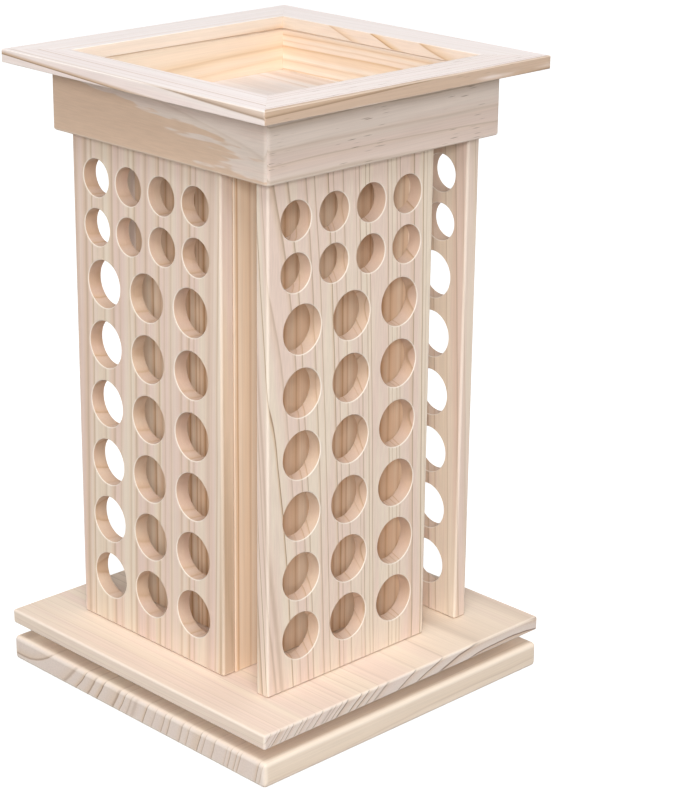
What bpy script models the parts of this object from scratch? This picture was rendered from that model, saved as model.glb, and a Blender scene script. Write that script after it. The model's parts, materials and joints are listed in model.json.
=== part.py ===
"""Rotating display rack for essential oil bottles, in natural pine.

Four drilled panels stand in a pinwheel round a square core of plain partitions. Each panel
covers a bay that is open at one end. The panels carry a tray with a mitred apron and rim, and
stand on a board that turns on a flat ball bearing above the base board.

Units are metres and +Z is up. The origin is at the middle of the base board's underside, and
the turning axis is the Z axis.
"""

import math

import bmesh
import bpy
from mathutils import Matrix, Vector

# Clearance between pieces that touch
FIT_GAP = 0.0003

# Base board and turntable board
BASE_SIDE = 0.240
BASE_THICKNESS = 0.0165
BASE_EDGE_ROUND = 0.003
TURNTABLE_SIDE = 0.240
TURNTABLE_THICKNESS = 0.0095
TURNTABLE_EDGE_ROUND = 0.0015

# Ball bearing in the gap between the two boards
BEARING_HEIGHT = 0.009
BEARING_PLATE_SIDE = 0.120
BEARING_PLATE_THICKNESS = 0.0012
BEARING_PLATE_CORNER = 0.008
BEARING_CENTRE_HOLE = 0.060
RACE_RADIUS = 0.040
RACE_WALL = 0.0012
BALL_SPACING = 0.0104
RETAINER_WIDTH = 0.0024
RETAINER_THICKNESS = 0.001

# Screws, and the hole in the base through which the upper bearing screws are driven
SCREW_DIAMETER = 0.0035
SCREW_POINT = 0.003
SCREW_HEAD_DIAMETER = 0.007
PAN_HEAD_HEIGHT = 0.002
PAN_HEAD_SIDE = 0.0008
PAN_HEAD_FLAT = 0.0049
BEARING_SCREW_INSET = 0.010
BASE_SCREW_COVER = 0.0065
TURNTABLE_SCREW_COVER = 0.0025
PANEL_SCREW_BITE = 0.012
PANEL_SCREW_INSET = 0.020
ACCESS_HOLE_DIAMETER = 0.014

# Drilled panels and the partitions behind them
PANEL_THICKNESS = 0.010
PANEL_HEIGHT = 0.322
PANEL_EDGE_ROUND = 0.0015
BAY_DEPTH = 0.0295
PARTITION_THICKNESS = 0.010

# Bottle holes: the wood left between them, and the least that is left at the panel's edges
LARGE_HOLE_DIAMETER = 0.030
LARGE_ROW_BRIDGE = 0.0085
LARGE_COLUMN_BRIDGE = 0.0097
SMALL_HOLE_DIAMETER = 0.0235
SMALL_ROW_BRIDGE = 0.0071
SMALL_COLUMN_BRIDGE = 0.0065
SMALL_ROWS = 2
GROUP_BRIDGE = 0.0078
HOLE_TOP_MARGIN = 0.014
HOLE_SIDE_MARGIN = 0.007
HOLE_BOTTOM_MARGIN = 0.016

# Tray: floor, apron boards and rim rails
TRAY_FLOOR_THICKNESS = 0.008
TRAY_WALL = 0.027
APRON_SIDE = 0.190
APRON_THICKNESS = 0.008
APRON_SKIRT = 0.0054
APRON_CORNER_ROUND = 0.003
RIM_THICKNESS = 0.008
RIM_OVERHANG = 0.0205
RIM_LIP = 0.0013
RIM_CORNER_ROUND = 0.001

# Facets on round shapes
LARGE_HOLE_SIDES = 18
SMALL_HOLE_SIDES = 16
SCREW_SIDES = 10
RACE_SIDES = 32
BALL_SIDES = 8
BALL_RINGS = 5
ARC_STEPS = 3
SMOOTH_BELOW = math.radians(35)
MERGE_DISTANCE = 0.00001

# Levels of the stack, from the bottom up
base_top = BASE_THICKNESS
turntable_bottom = base_top + BEARING_HEIGHT
turntable_top = turntable_bottom + TURNTABLE_THICKNESS
panel_bottom = turntable_top + FIT_GAP
tray_bottom = turntable_top + PANEL_HEIGHT
panel_top = tray_bottom - FIT_GAP
apron_bottom = tray_bottom - APRON_SKIRT
tray_top = tray_bottom + TRAY_FLOOR_THICKNESS
rim_bottom = tray_top + TRAY_WALL
rim_top = rim_bottom + RIM_THICKNESS

# Distances of the upright faces from the turning axis
apron_outer = APRON_SIDE / 2
apron_inner = apron_outer - APRON_THICKNESS
rim_outer = apron_outer + RIM_OVERHANG
rim_inner = apron_inner - RIM_LIP
panel_face = apron_inner - FIT_GAP
panel_back = panel_face - PANEL_THICKNESS
panel_middle = (panel_face + panel_back) / 2
partition_face = panel_back - BAY_DEPTH
partition_back = partition_face - PARTITION_THICKNESS

QUARTER_TURN = math.pi / 2
# The four sides of the rack, each a quarter turn from the one before
SIDES = {
    side: Matrix.Rotation(QUARTER_TURN * number, 4, "Z")
    for number, side in enumerate(("front", "right", "back", "left"))
}

for old in list(bpy.data.objects):
    bpy.data.objects.remove(old)

rack_collection = bpy.data.collections.new("rotating_display_rack")
cutter_collection = bpy.data.collections.new("cutters")
for collection in (rack_collection, cutter_collection):
    bpy.context.scene.collection.children.link(collection)


def material(name, colour, roughness, metallic=0.0):
    """A Principled material, with the colour given in linear light."""
    made = bpy.data.materials.new(name)
    made.use_nodes = True
    shader = made.node_tree.nodes["Principled BSDF"]
    shader.inputs["Base Color"].default_value = (*colour, 1.0)
    shader.inputs["Roughness"].default_value = roughness
    shader.inputs["Metallic"].default_value = metallic
    return made


def turning_axis(name):
    """An empty on the Z axis, for the pieces that turn together."""
    empty = bpy.data.objects.new(name, None)
    rack_collection.objects.link(empty)
    return empty


def add_part(name, mesh, finish, axis=None, place=None):
    """One named piece, fixed to a turning axis if it turns."""
    piece = bpy.data.objects.new(name, mesh)
    piece.parent = axis
    piece.matrix_basis = place or Matrix.Identity(4)
    mesh.materials.clear()
    mesh.materials.append(finish)
    rack_collection.objects.link(piece)
    return piece


def combine(piece, mesh, operation):
    """A live Boolean with a hidden wire tool that stands where the piece stands."""
    tool = bpy.data.objects.new(f"{mesh.name}_of_{piece.name}", mesh)
    tool.parent = piece.parent
    tool.matrix_basis = piece.matrix_basis.copy()
    tool.hide_render = True
    tool.display_type = "WIRE"
    cutter_collection.objects.link(tool)
    boolean = piece.modifiers.new(mesh.name, "BOOLEAN")
    boolean.operation = operation
    boolean.object = tool


def round_edges(piece, radius):
    """Rounded edges, on the sharp ones only."""
    bevel = piece.modifiers.new("rounded_edges", "BEVEL")
    bevel.width = radius
    bevel.segments = 2
    bevel.limit_method = "ANGLE"


def mesh_from(name, draw):
    """A mesh filled by a function that draws into a bmesh."""
    mesh = bpy.data.meshes.new(name)
    drawn = bmesh.new()
    draw(drawn)
    drawn.to_mesh(mesh)
    drawn.free()
    return mesh


def evaluated_mesh(guide):
    """The mesh that a guide object gives, and the guide removed."""
    bpy.context.scene.collection.objects.link(guide)
    graph = bpy.context.evaluated_depsgraph_get()
    mesh = bpy.data.meshes.new_from_object(guide.evaluated_get(graph))
    bpy.data.objects.remove(guide)
    return mesh


def board(name, low, high):
    """A rectangular board between two corners."""
    low, high = Vector(low), Vector(high)
    place = Matrix.Translation((low + high) / 2) @ Matrix.Diagonal((*(high - low), 1.0))
    return mesh_from(name, lambda drawn: bmesh.ops.create_cube(drawn, size=1.0, matrix=place))


def square_board(name, side, low, high):
    """A square board on the turning axis, between two heights."""
    return board(name, (-side / 2, -side / 2, low), (side / 2, side / 2, high))


def turned(name, profile, sides, closed=False):
    """A profile of radius and height, from the top down, turned about the Z axis."""
    points = [(radius, 0.0, height) for radius, height in profile]
    edges = [(i, i + 1) for i in range(len(points) - 1)]
    if closed:
        edges.append((len(points) - 1, 0))
    outline = bpy.data.meshes.new(name)
    outline.from_pydata(points, edges, [])
    guide = bpy.data.objects.new(name, outline)
    screw = guide.modifiers.new("turned", "SCREW")
    screw.steps = screw.render_steps = sides
    screw.use_merge_vertices = True
    screw.merge_threshold = MERGE_DISTANCE
    mesh = evaluated_mesh(guide)
    mesh.name = name
    mesh.shade_smooth()
    mesh.set_sharp_from_angle(angle=SMOOTH_BELOW)
    return mesh


def cylinder(name, radius, low, high, sides):
    """A round bar on the Z axis."""
    return turned(name, [(0.0, high), (radius, high), (radius, low), (0.0, low)], sides)


def ring(name, inner, outer, low, high, sides):
    """A ring of rectangular section about the Z axis."""
    return turned(name, [(outer, high), (outer, low), (inner, low), (inner, high)], sides, closed=True)


def copies(mesh, places):
    """One mesh with a copy of another at each place."""
    def draw(drawn):
        for place in places:
            stamp = mesh.copy()
            stamp.transform(place)
            drawn.from_mesh(stamp)
            bpy.data.meshes.remove(stamp)
    return mesh_from(mesh.name, draw)


def arc(centre, radius, start, end):
    """Points along an arc in plan, with the angles in degrees."""
    angles = [math.radians(start + (end - start) * step / ARC_STEPS) for step in range(ARC_STEPS + 1)]
    return [(centre[0] + radius * math.cos(a), centre[1] + radius * math.sin(a)) for a in angles]


def flat_outline(name, points, low, high):
    """A closed outline in plan, raised between two heights."""
    curve = bpy.data.curves.new(name, "CURVE")
    curve.dimensions = "2D"
    curve.fill_mode = "BOTH"
    curve.extrude = (high - low) / 2
    spline = curve.splines.new("POLY")
    spline.points.add(len(points) - 1)
    for spot, (x, y) in zip(spline.points, points):
        spot.co = (x, y, 0.0, 1.0)
    spline.use_cyclic_u = True
    mesh = evaluated_mesh(bpy.data.objects.new(name, curve))

    def draw(drawn):
        drawn.from_mesh(mesh)
        bmesh.ops.remove_doubles(drawn, verts=drawn.verts, dist=MERGE_DISTANCE)
        bmesh.ops.translate(drawn, verts=drawn.verts, vec=(0.0, 0.0, (low + high) / 2))
    return mesh_from(name, draw)


board_pine = material("board_pine", (0.74, 0.58, 0.40), 0.62)
panel_pine = material("panel_pine", (0.70, 0.52, 0.34), 0.62)
core_pine = material("core_pine", (0.60, 0.40, 0.23), 0.66)
zinc_steel = material("zinc_plated_steel", (0.56, 0.57, 0.58), 0.32, 1.0)
ball_steel = material("polished_ball_steel", (0.66, 0.66, 0.67), 0.15, 1.0)

rack_axis = turning_axis("rack_axis")
ball_axis = turning_axis("ball_axis")

# Heights inside the bearing, and the circle on which the corner screws of both plates stand
lower_plate_bottom = base_top + FIT_GAP
lower_plate_top = lower_plate_bottom + BEARING_PLATE_THICKNESS
upper_plate_top = turntable_bottom - FIT_GAP
upper_plate_bottom = upper_plate_top - BEARING_PLATE_THICKNESS
ball_radius = (upper_plate_bottom - lower_plate_top) / 2 - FIT_GAP
ball_height = (upper_plate_bottom + lower_plate_top) / 2
screw_circle = math.sqrt(2) * (BEARING_PLATE_SIDE / 2 - BEARING_SCREW_INSET)
# The upper plate is turned by an eighth, so that neither plate hides the other's screws
UPPER_PLATE_TURN = QUARTER_TURN / 2

# Screw lengths below the head, and where each screw stands. Screws are drawn pointing down.
shank_radius = SCREW_DIAMETER / 2
head_radius = SCREW_HEAD_DIAMETER / 2
countersink = head_radius - shank_radius
base_screw_seat = lower_plate_top + FIT_GAP
base_screw_length = base_screw_seat - BASE_SCREW_COVER
turntable_screw_seat = upper_plate_bottom - FIT_GAP
turntable_screw_length = turntable_top - TURNTABLE_SCREW_COVER - turntable_screw_seat
panel_screw_seat = turntable_bottom + FIT_GAP
panel_screw_length = panel_bottom + PANEL_SCREW_BITE - panel_screw_seat
POINTING_UP = Matrix.Rotation(math.pi, 4, "X")


def plate_corners(turn, height):
    """The places of the four corner screws of a bearing plate."""
    angles = [turn + QUARTER_TURN * (corner + 0.5) for corner in range(4)]
    return [
        Matrix.Translation((screw_circle * math.cos(a), screw_circle * math.sin(a), height))
        for a in angles
    ]


base_screw_places = plate_corners(0.0, base_screw_seat)
turntable_screw_places = [
    spot @ POINTING_UP for spot in plate_corners(UPPER_PLATE_TURN, turntable_screw_seat)
]
# Two screws in the middle of the front panel's thickness, one near each end of the panel
front_screw_places = {
    end: Matrix.Translation((x, -panel_middle, panel_screw_seat)) @ POINTING_UP
    for end, x in (
        ("outer", PANEL_SCREW_INSET - panel_face),
        ("inner", partition_face - PANEL_SCREW_INSET),
    )
}


def shank(length, clearance=0.0):
    """The outline of a screw's shank down to its point, as for a hole if there is a clearance."""
    return [(shank_radius + clearance, SCREW_POINT - length), (0.0, -length - clearance)]


def pan_screw(name, length):
    """A pan-head screw, with the underside of its head at height 0."""
    head = [
        (0.0, PAN_HEAD_HEIGHT),
        (PAN_HEAD_FLAT / 2, PAN_HEAD_HEIGHT),
        (head_radius, PAN_HEAD_SIDE),
        (head_radius, 0.0),
        (shank_radius, 0.0),
    ]
    return turned(name, head + shank(length), SCREW_SIDES)


def countersunk_screw(name, length):
    """A flat-head screw, with the top of its head at height 0."""
    head = [(0.0, 0.0), (head_radius, 0.0), (shank_radius, -countersink)]
    return turned(name, head + shank(length), SCREW_SIDES)


def pilot_hole(name, length, above):
    """The hole for a screw's shank, opened past the face that the screw enters."""
    mouth = [(0.0, above), (shank_radius + FIT_GAP, above)]
    return turned(name, mouth + shank(length, FIT_GAP), SCREW_SIDES)


def countersunk_hole(name, length, above):
    """The hole for a flat-head screw, opened past the face that the screw enters."""
    wide = head_radius + FIT_GAP
    mouth = [(0.0, above), (wide, above), (wide, 0.0), (shank_radius + FIT_GAP, -countersink)]
    return turned(name, mouth + shank(length, FIT_GAP), SCREW_SIDES)


# Base board, with pilot holes for its screws, and the access hole under one upper screw
base = add_part("base_board", square_board("base_board", BASE_SIDE, 0.0, base_top), board_pine)
round_edges(base, BASE_EDGE_ROUND)
base_pilot = pilot_hole("pilot_holes", base_screw_length, BEARING_HEIGHT)
combine(base, copies(base_pilot, base_screw_places), "DIFFERENCE")
access = cylinder("access_hole", ACCESS_HOLE_DIAMETER / 2, -base_top, 2 * base_top, LARGE_HOLE_SIDES)
combine(base, copies(access, [Matrix.Translation((screw_circle, 0.0, 0.0))]), "DIFFERENCE")


def bearing_plate(name, low, high, turn, centre_hole, screw_places, race_wall, axis=None):
    """A square plate with a round middle, corner screw holes and a race wall."""
    inset = BEARING_PLATE_SIDE / 2 - BEARING_PLATE_CORNER
    outline = []
    for quarter in range(4):
        centre = Matrix.Rotation(QUARTER_TURN * quarter, 2) @ Vector((inset, inset))
        outline += arc(centre, BEARING_PLATE_CORNER, 90.0 * quarter, 90.0 * (quarter + 1))
    mesh = flat_outline(name, outline, low, high)
    mesh.transform(Matrix.Rotation(turn, 4, "Z"))
    plate = add_part(name, mesh, zinc_steel, axis)
    past = 2 * BEARING_PLATE_THICKNESS
    combine(plate, cylinder("centre_hole", centre_hole, low - past, high + past, RACE_SIDES), "DIFFERENCE")
    screw_hole = cylinder("screw_holes", shank_radius + FIT_GAP, -past, past, SCREW_SIDES)
    combine(plate, copies(screw_hole, screw_places), "DIFFERENCE")
    combine(plate, ring("race_wall", *race_wall, RACE_SIDES), "UNION")


# The lower plate's wall stands inside the balls, and the upper plate's wall hangs outside them
half_plate = BEARING_PLATE_THICKNESS / 2
running_gap = 2 * FIT_GAP
inner_race = RACE_RADIUS - ball_radius - FIT_GAP
outer_race = RACE_RADIUS + ball_radius + FIT_GAP
bearing_plate(
    "bearing_lower_plate",
    lower_plate_bottom,
    lower_plate_top,
    0.0,
    inner_race - RACE_WALL / 2,
    base_screw_places,
    (inner_race - RACE_WALL, inner_race, lower_plate_bottom + half_plate, upper_plate_bottom - running_gap),
)
bearing_plate(
    "bearing_upper_plate",
    upper_plate_bottom,
    upper_plate_top,
    UPPER_PLATE_TURN,
    BEARING_CENTRE_HOLE / 2,
    turntable_screw_places,
    (outer_race, outer_race + RACE_WALL, lower_plate_top + running_gap, upper_plate_top - half_plate),
    rack_axis,
)

# Ring of balls, held apart by a thin retainer
ball_count = math.floor(2 * math.pi * RACE_RADIUS / BALL_SPACING)
retainer = ring(
    "ball_ring",
    RACE_RADIUS - RETAINER_WIDTH / 2,
    RACE_RADIUS + RETAINER_WIDTH / 2,
    ball_height - RETAINER_THICKNESS / 2,
    ball_height + RETAINER_THICKNESS / 2,
    ball_count,
)


def balls(drawn):
    """One ball after another round the race."""
    for number in range(ball_count):
        angle = 2 * math.pi * number / ball_count
        spot = (RACE_RADIUS * math.cos(angle), RACE_RADIUS * math.sin(angle), ball_height)
        bmesh.ops.create_uvsphere(
            drawn,
            u_segments=BALL_SIDES,
            v_segments=BALL_RINGS,
            radius=ball_radius,
            matrix=Matrix.Translation(spot) @ Matrix.Rotation(angle, 4, "Z"),
        )


ball_ring = add_part("ball_ring", retainer, ball_steel, ball_axis)
combine(ball_ring, mesh_from("balls", balls), "UNION")

# Screws of the two bearing plates
base_screw = pan_screw("base_screw", base_screw_length)
turntable_screw = pan_screw("turntable_screw", turntable_screw_length)
for number, (lower, upper) in enumerate(zip(base_screw_places, turntable_screw_places), start=1):
    add_part(f"base_screw_{number}", base_screw, zinc_steel, None, lower)
    add_part(f"turntable_screw_{number}", turntable_screw, zinc_steel, rack_axis, upper)

# Turntable board, drilled for the panel screws and the upper bearing screws
turntable_mesh = square_board("turntable_board", TURNTABLE_SIDE, turntable_bottom, turntable_top)
turntable = add_part("turntable_board", turntable_mesh, board_pine, rack_axis)
round_edges(turntable, TURNTABLE_EDGE_ROUND)
panel_screw_hole = countersunk_hole("panel_screw_holes", panel_screw_length, BEARING_HEIGHT)
all_panel_screws = [side @ spot for side in SIDES.values() for spot in front_screw_places.values()]
combine(turntable, copies(panel_screw_hole, all_panel_screws), "DIFFERENCE")
turntable_pilot = pilot_hole("pilot_holes", turntable_screw_length, BEARING_HEIGHT)
combine(turntable, copies(turntable_pilot, turntable_screw_places), "DIFFERENCE")


def hole_rows():
    """Rows of bottle holes from the top down: diameter, sides, height and column pitch."""
    small_pitch = SMALL_HOLE_DIAMETER + SMALL_COLUMN_BRIDGE
    large_pitch = LARGE_HOLE_DIAMETER + LARGE_COLUMN_BRIDGE
    rows = []
    height = apron_bottom - HOLE_TOP_MARGIN + SMALL_ROW_BRIDGE + SMALL_HOLE_DIAMETER / 2
    for _ in range(SMALL_ROWS):
        height -= SMALL_HOLE_DIAMETER + SMALL_ROW_BRIDGE
        rows.append((SMALL_HOLE_DIAMETER, SMALL_HOLE_SIDES, height, small_pitch))
    height -= SMALL_HOLE_DIAMETER / 2 + GROUP_BRIDGE + LARGE_HOLE_DIAMETER / 2
    lowest = turntable_top + HOLE_BOTTOM_MARGIN + LARGE_HOLE_DIAMETER / 2
    while height >= lowest:
        rows.append((LARGE_HOLE_DIAMETER, LARGE_HOLE_SIDES, height, large_pitch))
        height -= LARGE_HOLE_DIAMETER + LARGE_ROW_BRIDGE
    return rows


def bottle_holes(drawn):
    """Cutters for the front panel, with each row spread about the panel's middle."""
    room = partition_face + panel_face - 2 * HOLE_SIDE_MARGIN
    middle = (partition_face - panel_face) / 2
    for diameter, sides, height, pitch in hole_rows():
        columns = math.floor((room - diameter) / pitch) + 1
        first = middle - pitch * (columns - 1) / 2
        for column in range(columns):
            spot = Matrix.Translation((first + pitch * column, -panel_middle, height))
            bmesh.ops.create_cone(
                drawn,
                cap_ends=True,
                segments=sides,
                radius1=diameter / 2,
                radius2=diameter / 2,
                depth=2 * PANEL_THICKNESS,
                matrix=spot @ Matrix.Rotation(QUARTER_TURN, 4, "X"),
            )


# Drilled panels, each flush with its neighbour's face at its free end and with a partition at the other
panel_mesh = board(
    "panel",
    (-panel_face, -panel_face, panel_bottom),
    (partition_face, -panel_back, panel_top),
)
hole_mesh = mesh_from("bottle_holes", bottle_holes)
panel_pilot = pilot_hole("pilot_holes", panel_screw_length, BEARING_HEIGHT)
pilot_mesh = copies(panel_pilot, front_screw_places.values())
panel_screw = countersunk_screw("panel_screw", panel_screw_length)
for side, turn in SIDES.items():
    panel = add_part(f"panel_{side}", panel_mesh, panel_pine, rack_axis, turn)
    round_edges(panel, PANEL_EDGE_ROUND)
    combine(panel, hole_mesh, "DIFFERENCE")
    combine(panel, pilot_mesh, "DIFFERENCE")
    for end, spot in front_screw_places.items():
        add_part(f"panel_screw_{side}_{end}", panel_screw, zinc_steel, rack_axis, turn @ spot)

# Partitions, each from the back of one panel to the back of the next partition
partition_mesh = board(
    "partition",
    (FIT_GAP - panel_back, -partition_face, panel_bottom),
    (partition_back - FIT_GAP, -partition_back, panel_top),
)
for side, turn in SIDES.items():
    add_part(f"partition_{side}", partition_mesh, core_pine, rack_axis, turn)

# Tray floor, inside the apron
floor_side = 2 * (apron_inner - FIT_GAP)
add_part("tray_floor", square_board("tray_floor", floor_side, tray_bottom, tray_top), board_pine, rack_axis)


def mitred_rail(name, outer, inner, corner, low, high):
    """The front rail of a square frame, mitred at both ends, with the frame's corners rounded."""
    mitre_gap = FIT_GAP / math.sqrt(2)
    inset = outer - corner
    right_corner = [(x - mitre_gap, y) for x, y in arc((inset, -inset), corner, -90.0, -45.0)]
    left_corner = [(-x, y) for x, y in reversed(right_corner)]
    inner_edge = [(inner - mitre_gap, -inner), (mitre_gap - inner, -inner)]
    return flat_outline(name, left_corner + right_corner + inner_edge, low, high)


# Apron boards and rim rails
apron_top = rim_bottom - FIT_GAP
apron_mesh = mitred_rail("apron", apron_outer, apron_inner, APRON_CORNER_ROUND, apron_bottom, apron_top)
rim_mesh = mitred_rail("rim", rim_outer, rim_inner, RIM_CORNER_ROUND, rim_bottom, rim_top)
for side, turn in SIDES.items():
    add_part(f"apron_{side}", apron_mesh, board_pine, rack_axis, turn)
    add_part(f"rim_{side}", rim_mesh, board_pine, rack_axis, turn)
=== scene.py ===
import json
import math

import bmesh
import bpy
from mathutils import Matrix, Vector


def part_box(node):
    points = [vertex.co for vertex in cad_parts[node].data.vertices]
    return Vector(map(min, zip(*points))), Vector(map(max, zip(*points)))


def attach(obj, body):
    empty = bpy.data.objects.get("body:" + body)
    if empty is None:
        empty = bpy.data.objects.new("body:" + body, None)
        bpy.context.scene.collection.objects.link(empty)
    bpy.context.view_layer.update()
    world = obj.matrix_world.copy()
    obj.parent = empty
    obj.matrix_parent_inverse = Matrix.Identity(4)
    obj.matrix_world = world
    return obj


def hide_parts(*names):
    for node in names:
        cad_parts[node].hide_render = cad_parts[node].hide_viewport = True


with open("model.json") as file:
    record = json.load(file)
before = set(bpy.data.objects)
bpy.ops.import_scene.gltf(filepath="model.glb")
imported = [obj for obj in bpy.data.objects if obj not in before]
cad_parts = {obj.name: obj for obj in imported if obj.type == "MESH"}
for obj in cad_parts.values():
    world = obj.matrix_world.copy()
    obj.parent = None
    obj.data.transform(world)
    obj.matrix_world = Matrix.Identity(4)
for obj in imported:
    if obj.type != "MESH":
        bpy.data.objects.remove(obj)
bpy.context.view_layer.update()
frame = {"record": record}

# Base board
# A square of solid pine that stands on the table and doesn't turn. Its edges are rounded over and
# sanded. The grain runs from left to right, so the left edge shows the ends of the growth rings.
MM = 0.001
SAPWOOD = {"pale": "EDDDCA", "blush": "E9D0C3", "straw": "DDC09C", "line": "8E6E56"}
END_GRAIN = "E3D6D0"
SANDED_EDGE = "FCF1E4"
# Near white laid over upper faces: a painted sheen of light from above
PAINTED_TOP_SHEEN = "F9F1F0"
# Browner tone of hole walls: partly torn fibres, partly painted shade inside the holes
TORN_AND_SHADED_WALL = "C9A587"
FLECK_BROWN = "8A6E58"
# Sizes in the wood across and along the grain, in millimetres
WANDER_SIZE = (55.0, 320.0)
FLAME_SIZE = (9.0, 70.0)
PATCH_SIZE = (16.0, 260.0)
STREAK_SIZE = (2.6, 170.0)
FLECK_SIZE = (1.0, 15.0)
# Fibres are drawn three times as coarse as they are, so that they show
FIBRE_SIZE = (1.0, 60.0)
# Through one year's growth: the place in the year, the late wood's tan, and its dark last line
YEAR = (
    (0.0, 0.15, 0.0), (0.06, 0.0, 0.0), (0.5, 0.12, 0.0), (0.84, 0.6, 0.06), (0.94, 1.0, 1.0),
    (1.0, 0.15, 0.0),
)
# From year to year: how far growth strays, how fast growth and blush drift, and the faintest year
UNEVEN_YEARS = 2.4
GROWTH_DRIFT = 0.45
BLUSH_DRIFT = 0.38
FAINT_YEAR = 0.3
# Shares of one tone in another
STREAK_SHARE = 0.4
END_SHARE = 0.65
HEART_SHARE = 0.85
TORN_AND_SHADE_SHARE = 0.55
WORN_SHARE = 0.75
# Where an effect sets in and where it is full
END_FROM, END_FULL = 0.45, 0.95
BLUSH_FROM, BLUSH_FULL = 1.0, 1.4
FLECK_CORE, FLECK_RADIUS = 0.1, 0.3
FLECK_RARE, FLECK_SURE = 0.75, 0.95
NOISE_LOW, NOISE_HIGH = 0.3, 0.7
HEART_EDGE = 0.4
# Fibres shade the wood and its gloss a little, and late wood stands up from early wood
DARK_FIBRE, PALE_FIBRE = 0.95, 1.03
DULL_FIBRE, GLOSSY_FIBRE = 0.70, 0.56
LATE_RIDGE = 0.6
RELIEF = 0.06
RELIEF_STRENGTH = 0.25
WOOD_IOR = 1.45


def linear(code):
    """A colour in linear light, from its sRGB hex code."""
    levels = [int(code[i:i + 2], 16) / 255 for i in (0, 2, 4)]
    return [c / 12.92 if c <= 0.04045 else ((c + 0.055) / 1.055) ** 2.4 for c in levels] + [1.0]


def add(tree, kind, inputs=None, **settings):
    """One node in a tree, with its settings, and with values or links for its inputs.

    An input that is given a node is linked to the first of that node's outputs in use.
    """
    made = tree.nodes.new(kind)
    for name, value in settings.items():
        setattr(made, name, value)
    for socket, value in (inputs or {}).items():
        if isinstance(value, bpy.types.Node):
            value = next(output for output in value.outputs if output.enabled)
        if isinstance(value, bpy.types.NodeSocket):
            tree.links.new(value, made.inputs[socket])
        else:
            made.inputs[socket].default_value = value
    return made


def new_finish(name):
    """A new material, and its node tree with nothing in it."""
    made = bpy.data.materials.new(name)
    made.use_nodes = True
    made.node_tree.nodes.clear()
    return made, made.node_tree


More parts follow.
